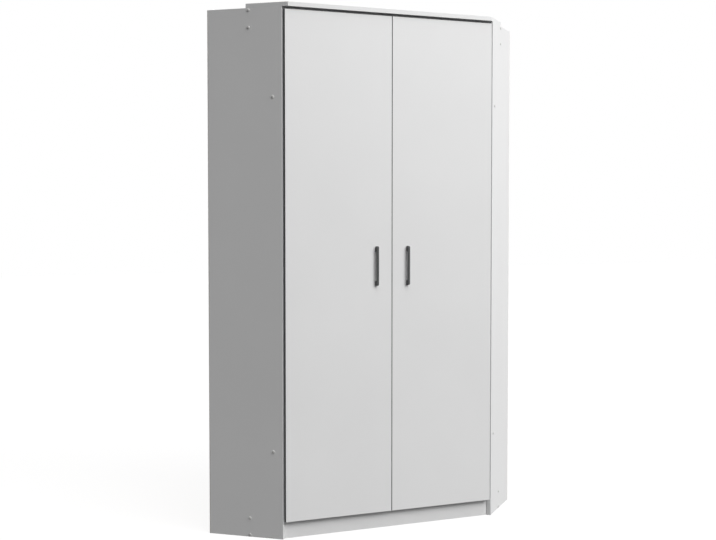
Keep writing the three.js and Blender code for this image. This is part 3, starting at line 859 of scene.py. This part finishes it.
def rail_cap(side, sign):
    """The cap of one end: a plug inside the tube and a flange over its end."""
    low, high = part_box(f"{side}_rail_cap")
    middle, radius = (low + high) / 2, (high.z - low.z) / 2
    face = Vector((low.x if sign < 0 else high.x, middle.y, middle.z))
    plug, plug_end = radius - TUBE_WALL - PLUG_PLAY, -CAP_FLANGE - CAP_PLUG
    profile = [(0, plug_end), (plug, plug_end), (plug, -CAP_FLANGE)]
    profile += [*rounded(radius, -CAP_FLANGE, 0, FLANGE_ROUND), (0, 0)]
    mesh = turned(profile, face, sign * RIGHT)
    return finished_piece(
        f"{side}_rail_cap_moulded", mesh, [GREY_CAP], "cabinet", "grey_plastic",
        f"{side}_rail_cap")


def rail_bracket(side):
    mesh = welded_copy(f"{side}_rail_bracket")
    round_edges(mesh, sharp_edges(mesh, longer_than=2 * MM), TUMBLED_RADIUS, segments=2)
    return finished_piece(
        f"{side}_rail_bracket_stamped", mesh, [NICKEL], "cabinet", "nickelled_steel",
        f"{side}_rail_bracket")


mark_creases(rail_tube())
for side, sign in SIDES.items():
    mark_creases(rail_cap(side, sign))
    mark_creases(rail_bracket(side))

# %% [markdown]
# Three sorts of small round parts are left: the steel pins that carry the shelf, the pan-headed
# screws that hold the handles from behind, and the soft bumpers that the doors close against. They
# differ only in their profile.

# %% Pins, handle screws and bumpers
SHELF_PIN_RADIUS = 2.5 * MM
SHELF_PIN_LENGTH = 16 * MM
SHELF_PIN_ROUND = 0.8 * MM
HANDLE_SCREW_RADIUS = 2 * MM
HANDLE_SCREW_POINT = 1 * MM
HEAD_RADIUS = 4 * MM
HEAD_HEIGHT = 2.2 * MM
HEAD_CORNER = 1.4 * MM
DRIVE_FLOOR, DRIVE_MOUTH = 1.3 * MM, 1.9 * MM  # radii of the recess in the head
BUMPER_DOME = 0.7  # the rounded share of a bumper's height


def shelf_pin(node, inward):
    """A pin that sticks out of a panel or the post, with a rounded tip."""
    low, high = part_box(node)
    start = (low + high) / 2 - inward * SHELF_PIN_LENGTH / 2
    flank = rounded(SHELF_PIN_RADIUS, 0, SHELF_PIN_LENGTH, SHELF_PIN_ROUND)
    mesh = turned([(0, 0), *flank, (0, SHELF_PIN_LENGTH)], start, inward)
    return finished_piece(f"{node}_turned", mesh, [NICKEL], "cabinet", "nickelled_steel", node)


def handle_screw(side, name):
    """A screw through the door, with its head on the back face."""
    node = f"{side}_handle_{name}_screw"
    low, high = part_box(node)
    under_head = Vector(((low.x + high.x) / 2, high.y - HEAD_HEIGHT, (low.z + high.z) / 2))
    tip = low.y - under_head.y
    recess = [(0, HEAD_HEIGHT / 2), (DRIVE_FLOOR, HEAD_HEIGHT / 2), (DRIVE_MOUTH, HEAD_HEIGHT)]
    head = reversed(rounded(HEAD_RADIUS, 0, HEAD_HEIGHT, HEAD_CORNER))
    shank = [
        (HANDLE_SCREW_RADIUS, 0), (HANDLE_SCREW_RADIUS, tip + HANDLE_SCREW_POINT), (0, tip)]
    mesh = turned([*recess, *head, *shank], under_head, BACK)
    return finished_piece(
        f"{node}_turned", mesh, [NICKEL], f"{side}_door", "nickelled_steel", node)


def bumper(side, name):
    """A soft dome on the door's back face."""
    node = f"{side}_{name}_bumper"
    low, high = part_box(node)
    base = Vector(((low.x + high.x) / 2, low.y, (low.z + high.z) / 2))
    radius, height = (high.x - low.x) / 2, high.y - low.y
    profile = [(0, 0), *rounded(radius, 0, height, BUMPER_DOME * height, steps=6), (0, height)]
    mesh = turned(profile, base, BACK)
    return finished_piece(f"{node}_moulded", mesh, [BUMPER], f"{side}_door", "soft_bumper", node)


mark_creases(shelf_pin("post_shelf_pin", FRONT))
for side, sign in SIDES.items():
    for place in ("front", "rear"):
        mark_creases(shelf_pin(f"{side}_{place}_shelf_pin", into_cabinet(sign)))
    for name in HINGES:
        mark_creases(handle_screw(side, name))
        mark_creases(bumper(side, name))

# %% [markdown]
# The post in the room's corner is sawn and planed square, then split along its diagonal. A plane
# takes the sharpness off its long edges, which catches the light on them.

# %% Corner post
PLANED_RADIUS = 1.2 * MM
mesh = welded_copy("corner_post")
round_edges(mesh, sharp_edges(mesh, longer_than=100 * MM), PLANED_RADIUS)
finished_piece("corner_post_planed", mesh, [SPRUCE], "cabinet", "batten", "corner_post")

# %% [markdown]
# The floor is a wide, pale plane. The camera, and a reflection in metal, sees it white with the
# wardrobe's soft shadow in it. Light that spreads from one surface to the next meets a dark matt
# floor instead, as if the floor's own glow weren't there, so that the shade under boards stays.

# %% Floor
FLOOR_SIZE = 40.0
SHADOWED = 0.90  # what the camera sees of the floor where no lamp reaches it
LIT_SHARE = 0.15  # what the lamps add to that
MATT = 0.06  # the dark floor that spread light meets


def grey(level):
    """A neutral colour of a linear level."""
    return level, level, level, 1.0


def seen_directly(owner):
    """1 for a ray from the camera, or one that metal or glass sends on, and 0 for the others."""
    path = add_node(owner, "ShaderNodeLightPath")
    factor = path.outputs["Is Camera Ray"]
    for kind in ("Is Glossy Ray", "Is Transmission Ray"):
        either = add_node(
            owner, "ShaderNodeMath", {0: factor, 1: path.outputs[kind]}, operation="MAXIMUM")
        factor = either.outputs[0]
    return factor


def studio_floor():
    mesh = bmesh.new()
    bmesh.ops.create_grid(mesh, x_segments=1, y_segments=1, size=FLOOR_SIZE / 2)
    data = bpy.data.meshes.new("studio_floor")
    mesh.to_mesh(data)
    mesh.free()
    material, _ = start_finish("studio_floor_white")
    matt = add_node(material, "ShaderNodeBsdfDiffuse", {"Color": grey(MATT)})
    shown = add_node(material, "ShaderNodeBsdfDiffuse", {"Color": grey(LIT_SHARE)})
    glow = add_node(material, "ShaderNodeEmission", {"Color": grey(1.0), "Strength": SHADOWED})
    bright = add_node(material, "ShaderNodeAddShader", {0: shown.outputs[0], 1: glow.outputs[0]})
    mix = add_node(material, "ShaderNodeMixShader", {
        0: seen_directly(material), 1: matt.outputs[0], 2: bright.outputs[0]})
    add_node(material, "ShaderNodeOutputMaterial", {"Surface": mix.outputs[0]})
    data.materials.append(material)
    floor = bpy.data.objects.new("studio_floor", data)
    bpy.context.scene.collection.objects.link(floor)


studio_floor()

# %% [markdown]
# The world is a dim, even light for the wardrobe and plain white for the camera and for
# reflections, so metal mirrors a bright studio.

# %% World
AMBIENT = 0.03


def studio_world():
    world = bpy.data.worlds.new("studio")
    world.use_nodes = True
    world.node_tree.nodes.clear()
    dim = add_node(world, "ShaderNodeBackground", {"Color": grey(1.0), "Strength": AMBIENT})
    white = add_node(world, "ShaderNodeBackground", {"Color": grey(1.0), "Strength": 1.0})
    mix = add_node(world, "ShaderNodeMixShader", {
        0: seen_directly(world), 1: dim.outputs[0], 2: white.outputs[0]})
    add_node(world, "ShaderNodeOutputWorld", {"Surface": mix.outputs[0]})
    bpy.context.scene.world = world


studio_world()

# %% [markdown]
# The photograph's shading tells where its lamps stand. The right side panel is a little brighter
# than the doors and the left one much darker, and each handle's soft shadow falls to the left and
# down: so the key is a large softbox high on the right. It stands close enough for the doors to
# grow darker towards their bottom left corner. A softer light from the front opens the shadows,
# one from high above draws the shade that the top board throws on the doors, and a faint one
# from the far right keeps the right side panel even down to the floor. The last one stands behind
# the wardrobe, out of the photograph's sight, so that its back can be looked at too.

# %% Lamps
SUN_DISTANCE = 6.0  # where a sun stands makes no difference to its light, only its direction does


def from_front(azimuth, elevation):
    """The direction to a lamp: azimuth degrees right of straight ahead, elevation degrees up."""
    turn, rise = math.radians(azimuth), math.radians(elevation)
    level = math.cos(rise)
    return Vector((math.sin(turn) * level, -math.cos(turn) * level, math.sin(rise)))


def add_lamp(name, lamp, place, direction):
    holder = bpy.data.objects.new(name, lamp)
    holder.location = place
    holder.rotation_euler = direction.to_track_quat("Z", "Y").to_euler()
    bpy.context.scene.collection.objects.link(holder)
    print(f"{name}: energy {lamp.energy}, at", [round(v, 2) for v in place])


def soft_sun(name, azimuth, elevation, strength, angle):
    lamp = bpy.data.lights.new(name, "SUN")
    lamp.energy = strength
    lamp.angle = math.radians(angle)
    direction = from_front(azimuth, elevation)
    add_lamp(name, lamp, direction * SUN_DISTANCE, direction)


def softbox(name, azimuth, elevation, distance, size, power):
    lamp = bpy.data.lights.new(name, "AREA")
    lamp.shape = "SQUARE"
    lamp.size = size
    lamp.energy = power
    direction = from_front(azimuth, elevation)
    middle = (cad_box[0] + cad_box[1]) / 2
    add_lamp(name, lamp, middle + direction * distance, direction)


softbox("key", azimuth=35, elevation=30, distance=7.0, size=3.0, power=200)
soft_sun("front_fill", azimuth=11, elevation=37, strength=1.30, angle=50)
soft_sun("overhead", azimuth=0, elevation=74, strength=1.0, angle=36)
soft_sun("right_edge_light", azimuth=95, elevation=12, strength=0.32, angle=40)
soft_sun("back_light", azimuth=180, elevation=5, strength=3.0, angle=40)

# %% [markdown]
# The camera stands where the photographer's stood. Its place and turn were worked out from the
# wardrobe's own edges in the photograph, with the real sizes known.

# %% Camera
CAMERA_PLACE = Vector((-2.26319, -4.84423, 1.21685))
CAMERA_YAW = 25.659  # degrees to the right of straight ahead
CAMERA_DIP = 2.584  # degrees below level
LENS = 65.29  # in millimetres, as is the sensor's width
SENSOR_WIDTH = 36.0
SIGHT = 100.0  # how far the camera sees, well past the floor's far edge


def studio_camera():
    camera = bpy.data.cameras.new("camera")
    camera.sensor_fit = "HORIZONTAL"
    camera.sensor_width = SENSOR_WIDTH
    camera.lens = LENS
    camera.clip_end = SIGHT
    holder = bpy.data.objects.new("camera", camera)
    holder.location = CAMERA_PLACE
    holder.rotation_euler = (math.radians(90 - CAMERA_DIP), 0.0, math.radians(-CAMERA_YAW))
    bpy.context.scene.collection.objects.link(holder)
    bpy.context.scene.camera = holder
    print("camera to the middle of the footprint:", round(CAMERA_PLACE.length, 2), "m")


studio_camera()
bpy.context.scene.view_settings.view_transform = "Standard"

# %% [markdown]
# The view layer is brought up to date, so that every piece stands in its place.

# %% Update
bpy.context.view_layer.update()
